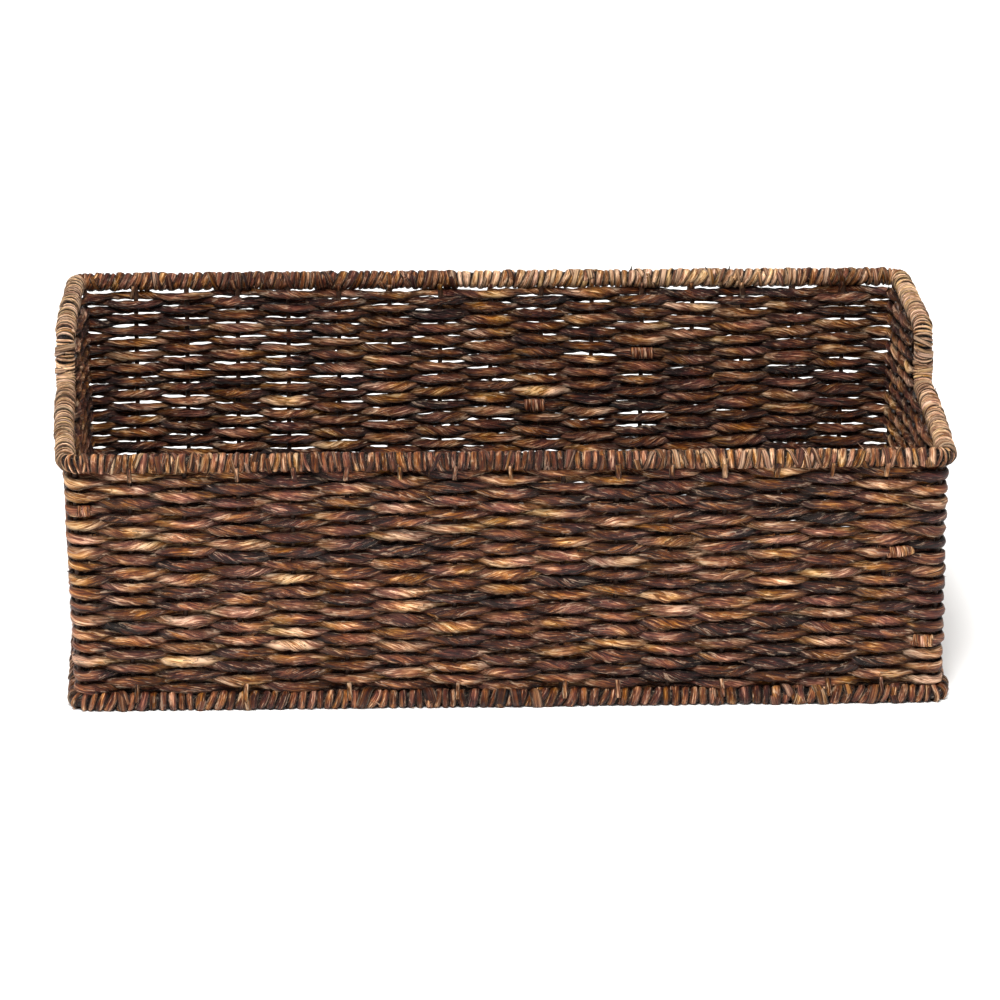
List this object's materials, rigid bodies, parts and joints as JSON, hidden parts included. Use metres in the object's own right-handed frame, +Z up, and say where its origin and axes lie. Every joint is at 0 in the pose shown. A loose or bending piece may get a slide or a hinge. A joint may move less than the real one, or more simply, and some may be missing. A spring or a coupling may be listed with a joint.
{
  "type": "open storage basket",
  "caption": "Long open-top storage basket with a low front and raised back, woven from twisted fibre strands round a wire frame, with bound rims.",
  "frame": {"origin": "centre of the footprint, on the surface that the basket stands on", "axes": "+X along the basket's length, -Y towards the low front, +Z up"},
  "size_m": [0.81, 0.4, 0.2977],
  "materials": {
    "frame_wire": "dark brown lacquered iron wire",
    "strand": "twisted abaca strand, stained dark brown, dull sheen",
    "binding": "flat abaca strip wound tightly, warm brown with darker and lighter strips",
    "base_strand": "flat woven abaca strand, stained dark brown"
  },
  "bodies": {
    "root": {"top_rim_wire": "frame_wire", "base_rim_wire": "frame_wire", "corner_posts": "frame_wire", "front_stakes": "frame_wire", "back_stakes": "frame_wire", "left_stakes": "frame_wire", "right_stakes": "frame_wire", "base_cross_wires": "frame_wire", "base_brace_wires": "frame_wire", "base_weave": "base_strand", "top_binding_front": "binding", "top_binding_back": "binding", "top_binding_left": "binding", "top_binding_right": "binding", "base_binding_front": "binding", "base_binding_back": "binding", "base_binding_left": "binding", "base_binding_right": "binding", "weave_course_01": "strand", "weave_course_02": "strand", "weave_course_03": "strand", "weave_course_04": "strand", "weave_course_05": "strand", "weave_course_06": "strand", "weave_course_07": "strand", "weave_course_08": "strand", "weave_course_09": "strand", "weave_course_10": "strand", "weave_course_11": "strand", "weave_course_12": "strand", "weave_course_13": "strand", "weave_course_14": "strand", "weave_course_15": "strand", "weave_course_16": "strand", "upper_course_01": "strand", "upper_course_02": "strand", "upper_course_03": "strand", "upper_course_04": "strand"}
  },
  "joints": []
}
